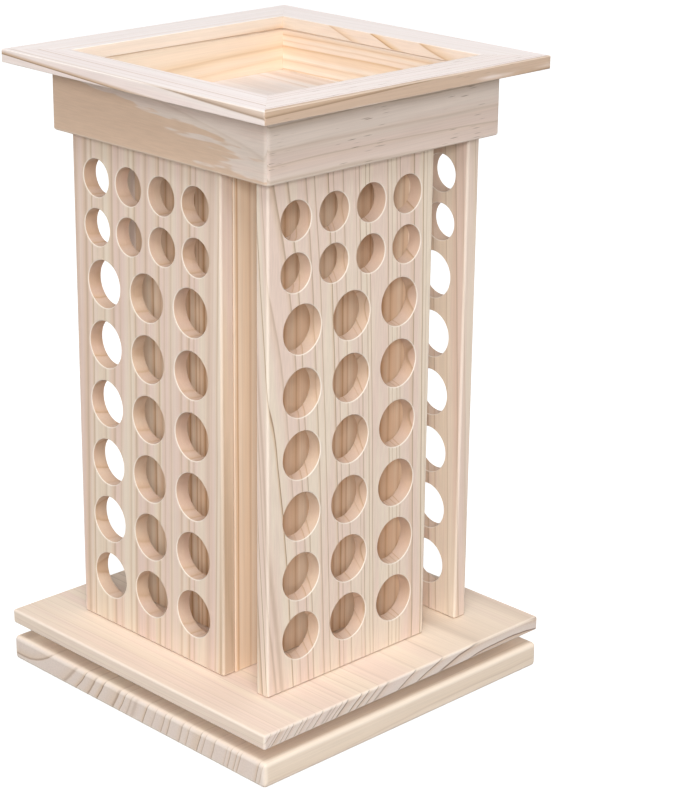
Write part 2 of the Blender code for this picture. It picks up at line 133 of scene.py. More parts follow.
def pine(
    name, grain, heart, lean=(0.0, 0.0), turn=0.0, near=0.0, ring=5.0, crowd=0.0, wave=2.0, lines=0.6,
    ends=0.9, tops=1.0, blush=0.8, flecks=0.0, heartwood=0.0, flames=14.0, tones=SAPWOOD, year=YEAR,
    seed=0.0,
):
    """Sanded, unfinished pine: pale early wood, tan late wood and a thin dark line to end each year.

    The rings are those of one log that runs through the board, so faces and ends agree. All sizes
    are in millimetres, for the board as it stands at the front before its turn about the axis.
    The heart is the middle of the log across the grain, and lean is its slope along the grain.
    Rings are counted from the near radius, where they are ring wide, and crowd closer from there.
    Browner heartwood fills the log out to a radius, where its edge breaks into flames.
    Lines and ends are how strongly the rings show on faces and on ends, and tops is the share of
    that which is left on upper faces, which are painted paler as a painted sheen of light from
    above. Wave is how far the rings wander, and blush and flecks are how strongly rosy bands and
    resin flecks show.
    """
    made, tree = new_finish(name)
    here = add(tree, "ShaderNodeTexCoord")
    front = add(
        tree, "ShaderNodeMapping",
        {"Vector": here.outputs["Object"], "Rotation": (0.0, 0.0, turn), "Scale": (MM, MM, MM)},
        vector_type="TEXTURE",
    )
    xyz = add(tree, "ShaderNodeSeparateXYZ", {0: front})
    axes = {"X": "YZX", "Y": "XZY", "Z": "XYZ"}[grain]
    board = add(tree, "ShaderNodeCombineXYZ", {i: xyz.outputs[axis] for i, axis in enumerate(axes)})
    log = add(
        tree, "ShaderNodeMapping",
        {"Vector": board, "Location": (*heart, 0.0), "Rotation": (-lean[1], lean[0], 0.0)},
        vector_type="TEXTURE",
    )

    def grown(size, **settings):
        """Noise drawn out along the grain, from a width and a length."""
        scale = (1 / size[0], 1 / size[0], 1 / size[1])
        place = add(
            tree, "ShaderNodeVectorMath", {0: log, 1: scale, 2: (seed, seed, seed)},
            operation="MULTIPLY_ADD",
        )
        kind = settings.pop("kind", "ShaderNodeTexNoise")
        return add(tree, kind, {"Vector": place, "Scale": 1.0, **settings})

    def covered(colour, *layers):
        """A colour with others laid over it, each with the share that it covers."""
        for share, tone in layers:
            colour = add(tree, "ShaderNodeMix", {0: share, 6: colour, 7: linear(tone)}, data_type="RGBA")
        return colour

    # Growth rings: distance from the heart, with a slow wander, good years and lean years
    wander = grown(WANDER_SIZE, Detail=4.0)
    centred = add(
        tree, "ShaderNodeVectorMath", {0: wander.outputs["Color"], 1: (0.5, 0.5, 0.5)},
        operation="SUBTRACT",
    )
    wavy = add(
        tree, "ShaderNodeVectorMath", {0: centred, 1: (2 * wave, 2 * wave, 0.0), 2: log},
        operation="MULTIPLY_ADD",
    )
    flat = add(tree, "ShaderNodeVectorMath", {0: wavy, 1: (1.0, 1.0, 0.0)}, operation="MULTIPLY")
    radius = add(tree, "ShaderNodeVectorMath", {0: flat}, operation="LENGTH").outputs["Value"]
    depth = add(tree, "ShaderNodeMath", {0: radius, 1: near}, operation="SUBTRACT")
    rate = add(tree, "ShaderNodeMath", {0: depth, 1: crowd, 2: 1 / ring}, operation="MULTIPLY_ADD")
    years = add(tree, "ShaderNodeMath", {0: depth, 1: rate, 2: seed}, operation="MULTIPLY_ADD")
    season = add(
        tree, "ShaderNodeTexNoise", {"W": years, "Scale": GROWTH_DRIFT, "Detail": 1.0},
        noise_dimensions="1D",
    )
    count = add(tree, "ShaderNodeMath", {0: season, 1: UNEVEN_YEARS, 2: years}, operation="MULTIPLY_ADD")
    within = add(tree, "ShaderNodeMath", {0: count}, operation="FRACT")
    which = add(tree, "ShaderNodeMath", {0: count}, operation="FLOOR")
    profile = add(tree, "ShaderNodeValToRGB", {0: within})
    stops = profile.color_ramp.elements
    for spot, _, _ in year[1:-1]:
        stops.new(spot)
    for stop, (_, late_tan, last_line) in zip(stops, year):
        stop.color = (late_tan, last_line, 0.0, 1.0)
    late = add(tree, "ShaderNodeSeparateColor", {0: profile.outputs["Color"]})
    chance = add(tree, "ShaderNodeTexWhiteNoise", {"W": which}, noise_dimensions="1D")
    vigour = add(tree, "ShaderNodeMapRange", {"Value": chance.outputs["Value"], 3: FAINT_YEAR})

    # The ends of the fibres show the rings more strongly than the faces
    along = Matrix.Rotation(turn, 3, "Z") @ Vector([axis == grain for axis in "XYZ"])
    facing = add(
        tree, "ShaderNodeVectorMath", {0: here.outputs["Normal"], 1: along}, operation="DOT_PRODUCT"
    )
    square_on = add(tree, "ShaderNodeMath", {0: facing.outputs["Value"]}, operation="ABSOLUTE")
    end = add(
        tree, "ShaderNodeMapRange", {"Value": square_on, 1: END_FROM, 2: END_FULL},
        interpolation_type="SMOOTHSTEP",
    )
    clear = add(tree, "ShaderNodeMapRange", {"Value": end, 3: lines, 4: ends})
    # Upper faces keep only the share tops of the rings and take a near-white tone: a painted sheen of
    # light from above
    upward = add(
        tree, "ShaderNodeVectorMath", {0: here.outputs["Normal"], 1: (0.0, 0.0, 1.0)},
        operation="DOT_PRODUCT",
    )
    rings_left_by_top_sheen = add(tree, "ShaderNodeMapRange", {"Value": upward.outputs["Value"], 3: 1.0, 4: tops})
    top_sheen_share = add(tree, "ShaderNodeMath", {0: 1.0, 1: rings_left_by_top_sheen}, operation="SUBTRACT")
    bright = add(tree, "ShaderNodeMath", {0: vigour, 1: rings_left_by_top_sheen}, operation="MULTIPLY")
    strength = add(tree, "ShaderNodeMath", {0: bright, 1: clear}, operation="MULTIPLY")
    tan = add(tree, "ShaderNodeMath", {0: late.outputs["Red"], 1: strength}, operation="MULTIPLY")
    dark = add(tree, "ShaderNodeMath", {0: late.outputs["Green"], 1: strength}, operation="MULTIPLY")

    # Some years are rosier than others, and the rosy bands fade in and out along the board
    band = add(
        tree, "ShaderNodeTexNoise", {"W": years, "Scale": BLUSH_DRIFT, "Detail": 1.0},
        noise_dimensions="1D",
    )
    cloud = grown(PATCH_SIZE, Detail=3.0)
    streak = grown(STREAK_SIZE, Detail=3.0)
    rosy = add(tree, "ShaderNodeMath", {0: band, 1: cloud}, operation="ADD")
    streaky = add(
        tree, "ShaderNodeMath", {0: streak, 1: STREAK_SHARE, 2: rosy}, operation="MULTIPLY_ADD"
    )
    patch = add(
        tree, "ShaderNodeMapRange", {"Value": streaky, 1: BLUSH_FROM, 2: BLUSH_FULL, 4: blush},
        interpolation_type="SMOOTHSTEP",
    )
    greyed = add(tree, "ShaderNodeMath", {0: end, 1: END_SHARE}, operation="MULTIPLY")
    early = covered(
        linear(tones["pale"]), (patch, tones["blush"]), (greyed, END_GRAIN), (top_sheen_share, PAINTED_TOP_SHEEN)
    )
    if heartwood:
        flame = grown(FLAME_SIZE, Detail=3.0)
        edge = add(tree, "ShaderNodeMath", {0: flame, 1: flames, 2: radius}, operation="MULTIPLY_ADD")
        outer = heartwood + flames / 2
        inside = add(
            tree, "ShaderNodeMapRange",
            {"Value": edge, 1: outer - HEART_EDGE, 2: outer + HEART_EDGE, 3: HEART_SHARE, 4: 0.0},
            interpolation_type="SMOOTHSTEP",
        )
        early = covered(early, (inside, tones["heart"]))

    # Short brown resin flecks, then fine fibres
    canal = grown(FLECK_SIZE, kind="ShaderNodeTexVoronoi")
    chosen = add(tree, "ShaderNodeSeparateColor", {0: canal.outputs["Color"]})
    close = add(
        tree, "ShaderNodeMapRange",
        {"Value": canal.outputs["Distance"], 1: FLECK_CORE, 2: FLECK_RADIUS, 3: 1.0, 4: 0.0},
    )
    some = add(
        tree, "ShaderNodeMapRange",
        {"Value": chosen.outputs["Red"], 1: FLECK_RARE, 2: FLECK_SURE, 4: flecks},
    )
    fleck = add(tree, "ShaderNodeMath", {0: close, 1: some}, operation="MULTIPLY")
    flecked = covered(early, (tan, tones["straw"]), (dark, tones["line"]), (fleck, FLECK_BROWN))
    fibre = grown(FIBRE_SIZE, Detail=2.0)
    tone = add(
        tree, "ShaderNodeMapRange",
        {"Value": fibre, 1: NOISE_LOW, 2: NOISE_HIGH, 3: DARK_FIBRE, 4: PALE_FIBRE},
    )
    fibrous = add(tree, "ShaderNodeVectorMath", {0: flecked, "Scale": tone}, operation="SCALE")

    # The walls of bored holes are painted browner, partly for their torn fibres
    # and partly as painted shade inside the holes
    hole_wall = add(tree, "ShaderNodeAttribute", attribute_name="bored").outputs["Fac"]
    torn_and_shaded = add(tree, "ShaderNodeMath", {0: hole_wall, 1: TORN_AND_SHADE_SHARE}, operation="MULTIPLY")
    # Edges and the rims of holes are paler where the paper has rounded them
    eased = add(tree, "ShaderNodeAttribute", attribute_name="eased").outputs["Fac"]
    worn = add(tree, "ShaderNodeMath", {0: eased, 1: WORN_SHARE}, operation="MULTIPLY")
    colour = covered(fibrous, (torn_and_shaded, TORN_AND_SHADED_WALL), (worn, SANDED_EDGE))
    matt = add(
        tree, "ShaderNodeMapRange",
        {"Value": fibre, 1: NOISE_LOW, 2: NOISE_HIGH, 3: DULL_FIBRE, 4: GLOSSY_FIBRE},
    )
    ridges = add(
        tree, "ShaderNodeMath", {0: late.outputs["Red"], 1: LATE_RIDGE, 2: fibre},
        operation="MULTIPLY_ADD",
    )
    bump = add(
        tree, "ShaderNodeBump", {"Strength": RELIEF_STRENGTH, "Distance": RELIEF * MM, "Height": ridges}
    )
    shader = add(
        tree, "ShaderNodeBsdfPrincipled",
        {"Base Color": colour, "Roughness": matt, "IOR": WOOD_IOR, "Normal": bump},
    )
    add(tree, "ShaderNodeOutputMaterial", {0: shader})
    return made


def mesh_from(name, finish, draw):
    """A mesh in one finish, filled by a function that draws into a bmesh."""
    mesh = bpy.data.meshes.new(name)
    drawn = bmesh.new()
    draw(drawn)
    drawn.to_mesh(mesh)
    drawn.free()
    mesh.materials.append(finish)
    return mesh


# How worn a rounded edge is, where the rim of a hole is 1
EDGE_WEAR = 0.35


def eased_board(name, finish, low, high, radius, steps):
    """A rectangular board between two corners, with all its edges rounded."""
    low, high = Vector(low), Vector(high)
    place = Matrix.Translation((low + high) / 2) @ Matrix.Diagonal((*(high - low), 1.0))

    def draw(drawn):
        eased = drawn.faces.layers.float.new("eased")
        bmesh.ops.create_cube(drawn, size=1.0, matrix=place)
        rounded = bmesh.ops.bevel(
            drawn, geom=drawn.edges[:], offset=radius, segments=steps, profile=0.5, affect="EDGES"
        )
        for face in rounded["faces"]:
            face[eased] = EDGE_WEAR
    return mesh_from(name, finish, draw)


def sized_tree(name, **inputs):
    """A geometry node tree with named inputs, and the sockets of those inputs."""
    tree = bpy.data.node_groups.new(name, "GeometryNodeTree")
    for socket, kind in inputs.items():
        tree.interface.new_socket(socket, in_out="INPUT", socket_type=f"NodeSocket{kind}")
    tree.interface.new_socket("finished", in_out="OUTPUT", socket_type="NodeSocketGeometry")
    return tree, add(tree, "NodeGroupInput").outputs


def end_tree(tree, geometry, finish):
    """The end of a tree: its copies become real meshes and take their finish."""
    real = add(tree, "GeometryNodeRealizeInstances", {0: geometry})
    finished = add(tree, "GeometryNodeSetMaterial", {"Geometry": real, "Material": finish})
    add(tree, "NodeGroupOutput", {0: finished})


def placed(name, data):
    """A mesh, a lamp or a camera as an object in the scene."""
    made = bpy.data.objects.new(name, data)
    bpy.context.scene.collection.objects.link(made)
    return made


def plain_mesh(name, mesh, modify):
    """A mesh as a modifier leaves it. The modifier is set up by a function."""
    made = placed(name, mesh)
    modify(made.modifiers)
    graph = bpy.context.evaluated_depsgraph_get()
    result = bpy.data.meshes.new_from_object(made.evaluated_get(graph))
    result.name = name
    bpy.data.objects.remove(made)
    return result


def grown_mesh(mesh, tree, **values):
    """A mesh passed through a geometry node tree, with the tree's inputs given by name."""
    def modify(modifiers):
        nodes = modifiers.new(tree.name, "NODES")
        nodes.node_group = tree
        for item in tree.interface.items_tree:
            if item.name in values:
                nodes[item.identifier] = values[item.name]
    return plain_mesh(mesh.name, mesh, modify)


# Geometry nodes that bore round holes down through a board, with the rims eased by sanding
BORE_PAST = 1.0 * MM
BIT_SEGMENTS = 3
boring, given = sized_tree(
    "bored_holes", board="Geometry", places="Object", diameter="Float", thickness="Float", ease="Float",
    sides="Int", finish="Material",
)
bore_radius = add(boring, "ShaderNodeMath", {0: given["diameter"], 1: 0.5}, operation="MULTIPLY")
half_board = add(boring, "ShaderNodeMath", {0: given["thickness"], 1: 0.5}, operation="MULTIPLY")
reach = add(boring, "ShaderNodeMath", {0: half_board, 1: BORE_PAST}, operation="ADD")
length = add(boring, "ShaderNodeMath", {0: reach, 1: 2.0}, operation="MULTIPLY")
bit = add(
    boring, "GeometryNodeMeshCylinder",
    {"Vertices": given["sides"], "Side Segments": BIT_SEGMENTS, "Radius": bore_radius, "Depth": length},
)
# The bit's outer rings flare at 45 degrees through the eased faces, and its inner rings end the wall
point = add(boring, "GeometryNodeInputPosition")
height = add(boring, "ShaderNodeSeparateXYZ", {0: point})
away = add(boring, "ShaderNodeMath", {0: height.outputs["Z"]}, operation="ABSOLUTE")
middle = add(boring, "ShaderNodeMath", {0: reach, 1: 0.5}, operation="MULTIPLY")
outer_ring = add(boring, "ShaderNodeMath", {0: away, 1: middle}, operation="GREATER_THAN")
eased = add(boring, "ShaderNodeMath", {0: given["ease"], 1: 0.0}, operation="GREATER_THAN")
wide = add(
    boring, "ShaderNodeMath", {0: eased, 1: BORE_PAST, 2: given["ease"]}, operation="MULTIPLY_ADD"
)
wider = add(boring, "ShaderNodeMath", {0: wide, 1: bore_radius}, operation="DIVIDE")
flare = add(boring, "ShaderNodeMath", {0: wider, 1: 1.0}, operation="ADD")
wall = add(boring, "ShaderNodeMath", {0: half_board, 1: given["ease"]}, operation="SUBTRACT")
wall_share = add(boring, "ShaderNodeMath", {0: wall, 1: reach}, operation="DIVIDE")
wall_scale = add(boring, "ShaderNodeMath", {0: wall_share, 1: BIT_SEGMENTS}, operation="MULTIPLY")
flared = add(boring, "ShaderNodeCombineXYZ", {0: flare, 1: flare, 2: 1.0})
straight = add(boring, "ShaderNodeCombineXYZ", {0: 1.0, 1: 1.0, 2: wall_scale})
ring_scale = add(boring, "ShaderNodeMix", {0: outer_ring, 4: straight, 5: flared}, data_type="VECTOR")
moved = add(boring, "ShaderNodeVectorMath", {0: point, 1: ring_scale}, operation="MULTIPLY")
rim_marked = add(
    boring, "GeometryNodeStoreNamedAttribute",
    {"Geometry": bit.outputs["Mesh"], "Name": "eased", "Value": outer_ring}, domain="FACE",
)
inner_ring = add(boring, "ShaderNodeMath", {0: 1.0, 1: outer_ring}, operation="SUBTRACT")
wall_marked = add(
    boring, "GeometryNodeStoreNamedAttribute",
    {"Geometry": rim_marked, "Name": "bored", "Value": inner_ring}, domain="FACE",
)
shaped = add(boring, "GeometryNodeSetPosition", {"Geometry": wall_marked, "Position": moved})
spots = add(boring, "GeometryNodeObjectInfo", {"Object": given["places"]})
bits = add(
    boring, "GeometryNodeInstanceOnPoints", {"Points": spots.outputs["Geometry"], "Instance": shaped}
)
solid_bits = add(boring, "GeometryNodeRealizeInstances", {0: bits})
cut = add(
    boring, "GeometryNodeMeshBoolean", {0: given["board"], 1: solid_bits}, operation="DIFFERENCE",
    solver="EXACT",
)
end_tree(boring, cut, given["finish"])


def at_places(mesh, tree, places, **values):
    """A mesh passed through a tree that reads its places from the points of a guide."""
    points = bpy.data.meshes.new("places")
    points.from_pydata([tuple(place) for place in places], [], [])
    guide = placed("places", points)
    result = grown_mesh(mesh, tree, places=guide, finish=mesh.materials[0], **values)
    bpy.data.objects.remove(guide)
    return result


def bored(mesh, places, diameter, thickness, ease, sides):
    """A mesh bored through at each place. A place is the middle of the bored depth."""
    return at_places(
        mesh, boring, places, diameter=diameter, thickness=thickness, ease=ease, sides=sides
    )


SHARP_ANGLE = math.radians(50)


def show(name, mesh, slot, body, *nodes):
    """A finished piece that stands for CAD nodes. Round edges are shaded soft, and flats stay flat."""
    mesh.shade_smooth()
    mesh.set_sharp_from_angle(angle=SHARP_ANGLE)

    def modify(modifiers):
        modifiers.new("soft_edges", "WEIGHTED_NORMAL").keep_sharp = True
    made = placed(name, plain_mesh(name, mesh, modify))
    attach(made, body)
    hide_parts(*nodes)


BASE_ROUND = 3.0 * MM
BASE_ROUND_STEPS = 8
BASE_TONES = {"pale": "F1DFCB", "blush": "EED6C5", "straw": "DEC1A1", "line": "9C8070"}
ACCESS_HOLE = 14.0 * MM
ACCESS_EASE = 0.5 * MM
ACCESS_SIDES = 48
PILOT_HOLE = 2.4 * MM
PILOT_SIDES = 16
base_low, base_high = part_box("base_board")
base_thickness = base_high.z - base_low.z
access_low, access_high = next(
    [Vector(corner) for corner in opening["box_m"]]
    for opening in frame["record"]["physics"]["openings"] if opening["name"] == "access_hole"
)
access_place = (access_low + access_high) / 2
access_place.z = base_thickness / 2


def screw_places(nodes, height):
    """The places of screws in plan, at one height."""
    boxes = [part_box(node) for node in nodes]
    return [Vector(((low.x + high.x) / 2, (low.y + high.y) / 2, height)) for low, high in boxes]


base_screws = [f"base_screw_{number}" for number in range(1, 5)]
base_screw_depth = base_high.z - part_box(base_screws[0])[0].z
base_pine = pine(
    "base_board_pine", "X", (112.0, 60.0), near=40.0, ring=12.0, crowd=0.0002, wave=3.0, lines=0.3,
    ends=1.2, blush=0.5, tones=BASE_TONES, seed=9.2,
)
base_mesh = eased_board("base_board", base_pine, base_low, base_high, BASE_ROUND, BASE_ROUND_STEPS)
base_mesh = bored(base_mesh, [access_place], ACCESS_HOLE, base_thickness, ACCESS_EASE, ACCESS_SIDES)
base_pilots = screw_places(base_screws, base_high.z)
base_mesh = bored(base_mesh, base_pilots, PILOT_HOLE, 2 * base_screw_depth, 0.0, PILOT_SIDES)
show("base_board_sanded", base_mesh, "board_pine", "base", "base_board")

# Lower bearing plate
# A square of pressed steel sheet, plated with zinc, on the base board. Its middle is drawn up into a
# round wall that keeps the balls in their ring.
SHEET = 1.2 * MM
SHEET_EDGE = 0.2 * MM
PLATE_CORNER = 8.0 * MM
PLATE_SPOKES = 192
QUARTER_TURN = math.pi / 2
BEND = 0.8 * MM
RUNNING_GAP = 0.3 * MM
SCREW_HOLE = 4.1 * MM
SCREW_HOLE_SIDES = 24
ZINC_BLUE = "B4BAC1"
ZINC_STRAW = "C6C2B6"
# Width of the bloom's clouds and of the grit, and the grit's height, in millimetres
ZINC_BLOOM = 6.0
ZINC_GRIT = 0.35
GRIT_HEIGHT = 0.02
GRIT_STRENGTH = 0.15
BLOOM_LOW, BLOOM_HIGH = 0.35, 0.65
BRIGHT_ZINC, DULL_ZINC = 0.26, 0.42

zinc_plate, tree = new_finish("zinc_plated_steel")
# Pressed and barrel plated: a bright grey with a faint blue and straw bloom, and fine dull grit
here = add(tree, "ShaderNodeTexCoord").outputs["Object"]
bloom = add(tree, "ShaderNodeTexNoise", {"Vector": here, "Scale": 1 / (ZINC_BLOOM * MM), "Detail": 3.0})
grit = add(tree, "ShaderNodeTexNoise", {"Vector": here, "Scale": 1 / (ZINC_GRIT * MM), "Detail": 2.0})
tint = add(tree, "ShaderNodeMapRange", {"Value": bloom, 1: BLOOM_LOW, 2: BLOOM_HIGH})
colour = add(
    tree, "ShaderNodeMix", {0: tint, 6: linear(ZINC_BLUE), 7: linear(ZINC_STRAW)}, data_type="RGBA"
)
dull = add(
    tree, "ShaderNodeMapRange",
    {"Value": grit, 1: NOISE_LOW, 2: NOISE_HIGH, 3: BRIGHT_ZINC, 4: DULL_ZINC},
)
bump = add(
    tree, "ShaderNodeBump", {"Strength": GRIT_STRENGTH, "Distance": GRIT_HEIGHT * MM, "Height": grit}
)
shader = add(
    tree, "ShaderNodeBsdfPrincipled",
    {"Base Color": colour, "Metallic": 1.0, "Roughness": dull, "Normal": bump},
)
add(tree, "ShaderNodeOutputMaterial", {0: shader})


def bend(centre, radius, start, end, steps=6):
    """Points of an arc in a section of radius and height, with the angles in degrees."""
    angles = [math.radians(start + (end - start) * step / steps) for step in range(steps + 1)]
    return [(centre[0] + radius * math.cos(a), centre[1] + radius * math.sin(a)) for a in angles]


def square_reach(angle, half):
    """How far a square plate with round corners reaches from its middle, in one direction."""
    fold = abs((angle + QUARTER_TURN / 2) % QUARTER_TURN - QUARTER_TURN / 2)
    if math.tan(fold) * half <= half - PLATE_CORNER:
        return half / math.cos(fold)
    along = (half - PLATE_CORNER) * (math.cos(fold) + math.sin(fold))
    return along + math.sqrt(along ** 2 - 2 * (half - PLATE_CORNER) ** 2 + PLATE_CORNER ** 2)


def join_rings(drawn, rings):
    """Faces between neighbouring rings of points. A face that ends in a point has three corners."""
    for ring, next_ring in zip(rings, rings[1:]):
        for i in range(len(ring)):
            corners = dict.fromkeys((ring[i - 1], ring[i], next_ring[i], next_ring[i - 1]))
            drawn.faces.new(tuple(corners))
    bmesh.ops.recalc_face_normals(drawn, faces=drawn.faces[:])


def pressed_plate(name, half, low, section):
    """A square plate on the axis, from the section of its round middle, from upper to lower face."""
    angles = [2 * math.pi * spoke / PLATE_SPOKES for spoke in range(PLATE_SPOKES)]
    high = low + SHEET
    rim = [(SHEET_EDGE, low), (0.0, low + SHEET_EDGE), (0.0, high - SHEET_EDGE), (SHEET_EDGE, high)]
    loops = [[(radius, height) for _ in angles] for radius, height in section]
    loops += [[(square_reach(a, half) - inset, height) for a in angles] for inset, height in rim]

    def draw(drawn):
        rings = [
            [
                drawn.verts.new((reach * math.cos(a), reach * math.sin(a), height))
                for a, (reach, height) in zip(angles, loop)
            ]
            for loop in loops
        ]
        join_rings(drawn, rings + rings[:1])
    return mesh_from(name, zinc_plate, draw)


lower_low, lower_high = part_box("bearing_lower_plate")
plate_half = lower_high.x
ball_low, ball_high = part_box("ball_ring")
ball_radius = (ball_high.z - ball_low.z) / 2
race_radius = ball_high.x - ball_radius
inner_race = race_radius - ball_radius - RUNNING_GAP
bend_middle = (inner_race + BEND, lower_low.z + SHEET + BEND)
lip_middle = (inner_race - SHEET / 2, lower_high.z - SHEET / 2)
lower_section = (
    bend(bend_middle, BEND, 270.0, 180.0)
    + bend(lip_middle, SHEET / 2, 0.0, 180.0)
    + bend(bend_middle, BEND + SHEET, 180.0, 270.0)
)
lower_mesh = pressed_plate("bearing_lower_plate", plate_half, lower_low.z, lower_section)
lower_holes = screw_places(base_screws, lower_low.z + SHEET / 2)
lower_mesh = bored(lower_mesh, lower_holes, SCREW_HOLE, SHEET, SHEET_EDGE, SCREW_HOLE_SIDES)
show("bearing_lower_plate_pressed", lower_mesh, "zinc_steel", "base", "bearing_lower_plate")

# Bearing screws
# Pan-head wood screws of zinc-plated steel hold the lower plate to the base board. Their heads have a
# cross recess, and their thread is rolled up to the point.
SCREW_RADIUS = 1.75 * MM
HEAD_RADIUS = 3.5 * MM
HEAD_HEIGHT = 2.0 * MM
HEAD_SIDE = 0.8 * MM
HEAD_FLAT = 2.45 * MM
HEAD_STEPS = 5
THREAD_PITCH = 1.3 * MM
THREAD_DEPTH = 0.5 * MM
THREAD_ROWS = 5
SCREW_POINT = 3.0 * MM
SCREW_SIDES = 20
CORE_RADIUS = SCREW_RADIUS - THREAD_DEPTH
RECESS_ARM = 1.9 * MM
RECESS_HALF = 0.42 * MM
RECESS_DEPTH = 1.3 * MM
RECESS_TAPER = 0.45


def thread_outline(neck, length):
    """The outline of a screw's shank from its neck to its point, with rows close enough for a thread."""
    rows = math.ceil((length - neck) / THREAD_PITCH * THREAD_ROWS)
    outline = []
    for row in range(rows):
        depth = neck + (length - neck) * row / rows
        outline.append((SCREW_RADIUS * min(1.0, (length - depth) / SCREW_POINT), -depth))
    return outline + [(0.0, -length)]


def wood_screw(name, head, neck, length):
    """A screw that points down from height 0, from the outline of its head."""
    outline = head + thread_outline(neck, length)

    def draw(drawn):
        angles = [2 * math.pi * side / SCREW_SIDES for side in range(SCREW_SIDES)]
        rings = []
        for radius, height in outline:
            if radius:
                spots = [(radius * math.cos(a), radius * math.sin(a), height) for a in angles]
                rings.append([drawn.verts.new(spot) for spot in spots])
            else:
                rings.append([drawn.verts.new((0.0, 0.0, height))] * SCREW_SIDES)
        join_rings(drawn, rings)
        for vert in drawn.verts:
            if vert.co.z < -neck:
                turn = vert.co.z / THREAD_PITCH + math.atan2(vert.co.y, vert.co.x) / (2 * math.pi)
                ridge = 1.0 - abs(2 * (turn % 1.0) - 1.0)
                shrink = 1.0 - THREAD_DEPTH / SCREW_RADIUS * (1.0 - ridge)
                vert.co.x *= shrink
                vert.co.y *= shrink

    def draw_recess(drawn):
        arm = [(RECESS_ARM, -RECESS_HALF), (RECESS_ARM, RECESS_HALF), (RECESS_HALF, RECESS_HALF)]
        cross = [
            Matrix.Rotation(QUARTER_TURN * quarter, 2) @ Vector(spot)
            for quarter in range(4) for spot in arm
        ]
        top = head[0][1]
        levels = (1.0, top + RECESS_DEPTH), (1.0, top), (RECESS_TAPER, top - RECESS_DEPTH)
        rings = [
            [drawn.verts.new((spot.x * share, spot.y * share, level)) for spot in cross]
            for share, level in levels
        ]
        drawn.faces.new(rings[0])
        drawn.faces.new(rings[-1])
        join_rings(drawn, rings)

    tool = placed("recess", mesh_from("recess", zinc_plate, draw_recess))

    def modify(modifiers):
        recess = modifiers.new("recess", "BOOLEAN")
        recess.operation = "DIFFERENCE"
        recess.object = tool
    result = plain_mesh(name, mesh_from(name, zinc_plate, draw), modify)
    bpy.data.objects.remove(tool)
    return result


# Geometry nodes that set a copy of one piece at each place
setting, given = sized_tree("set_in_place", piece="Geometry", places="Object", finish="Material")
spots = add(setting, "GeometryNodeObjectInfo", {"Object": given["places"]})
stood = add(
    setting, "GeometryNodeInstanceOnPoints",
    {"Points": spots.outputs["Geometry"], "Instance": given["piece"]},
)
end_tree(setting, stood, given["finish"])

pan_head = [(0.0, HEAD_HEIGHT), (HEAD_FLAT, HEAD_HEIGHT)]
for step in range(1, HEAD_STEPS + 1):
    a = QUARTER_TURN * step / HEAD_STEPS
    pan_head.append((
        HEAD_FLAT + (HEAD_RADIUS - HEAD_FLAT) * math.sin(a),
        HEAD_SIDE + (HEAD_HEIGHT - HEAD_SIDE) * math.cos(a),
    ))
pan_head += [(HEAD_RADIUS, 0.0), (CORE_RADIUS, 0.0)]
base_screw_low, base_screw_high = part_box(base_screws[0])
base_seat = base_screw_high.z - HEAD_HEIGHT
base_screw = wood_screw("base_screws", pan_head, SHEET, base_seat - base_screw_low.z)
base_screw_mesh = at_places(base_screw, setting, screw_places(base_screws, base_seat))
show("base_screws_pan_head", base_screw_mesh, "zinc_steel", "base", *base_screws)

# Ball ring
# Polished steel balls roll in a ring between the plates. A thin round cage of steel keeps them apart,
# and nothing fastens it: the race walls hold it in place.
BALL_COUNT = 24
BALL_SEGMENTS = 28
BALL_RINGS = 16
CAGE_WIDTH = 2.4 * MM
CAGE_THICKNESS = 1.0 * MM
CAGE_STEPS = 192
STEEL_BRIGHT = "D6D8DB"
STEEL_HAZY = "B9BABB"
# Width of the clouds of haze, in millimetres
STEEL_CLOUD = 2.0
CLEAR_STEEL, HAZY_STEEL = 0.08, 0.2

ball_steel, tree = new_finish("polished_bearing_steel")
# Ground and polished: a bright mirror with the faint haze of grease and handling
here = add(tree, "ShaderNodeTexCoord").outputs["Object"]
haze = add(tree, "ShaderNodeTexNoise", {"Vector": here, "Scale": 1 / (STEEL_CLOUD * MM), "Detail": 3.0})
colour = add(
    tree, "ShaderNodeMix", {0: haze, 6: linear(STEEL_BRIGHT), 7: linear(STEEL_HAZY)}, data_type="RGBA"
)
dull = add(
    tree, "ShaderNodeMapRange",
    {"Value": haze, 1: NOISE_LOW, 2: NOISE_HIGH, 3: CLEAR_STEEL, 4: HAZY_STEEL},
)
shader = add(
    tree, "ShaderNodeBsdfPrincipled", {"Base Color": colour, "Metallic": 1.0, "Roughness": dull}
)
add(tree, "ShaderNodeOutputMaterial", {0: shader})

# Geometry nodes that thread balls on a round cage
caging, given = sized_tree(
    "caged_balls", race="Float", ball="Float", balls="Int", width="Float", thickness="Float",
    finish="Material",
)
circle = add(caging, "GeometryNodeMeshCircle", {"Vertices": given["balls"], "Radius": given["race"]})
sphere = add(
    caging, "GeometryNodeMeshUVSphere",
    {"Segments": BALL_SEGMENTS, "Rings": BALL_RINGS, "Radius": given["ball"]},
)
row = add(caging, "GeometryNodeInstanceOnPoints", {"Points": circle, "Instance": sphere.outputs["Mesh"]})
solid_row = add(caging, "GeometryNodeRealizeInstances", {0: row})
path = add(
    caging, "GeometryNodeCurvePrimitiveCircle", {"Resolution": CAGE_STEPS, "Radius": given["race"]}
)
bar = add(
    caging, "GeometryNodeCurvePrimitiveQuadrilateral",
    {"Width": given["thickness"], "Height": given["width"]},
)
cage = add(caging, "GeometryNodeCurveToMesh", {"Curve": path, "Profile Curve": bar})
union = add(caging, "GeometryNodeMeshBoolean", {1: cage}, operation="UNION", solver="EXACT")
caging.links.new(solid_row.outputs[0], union.inputs[1])
end_tree(caging, union, given["finish"])

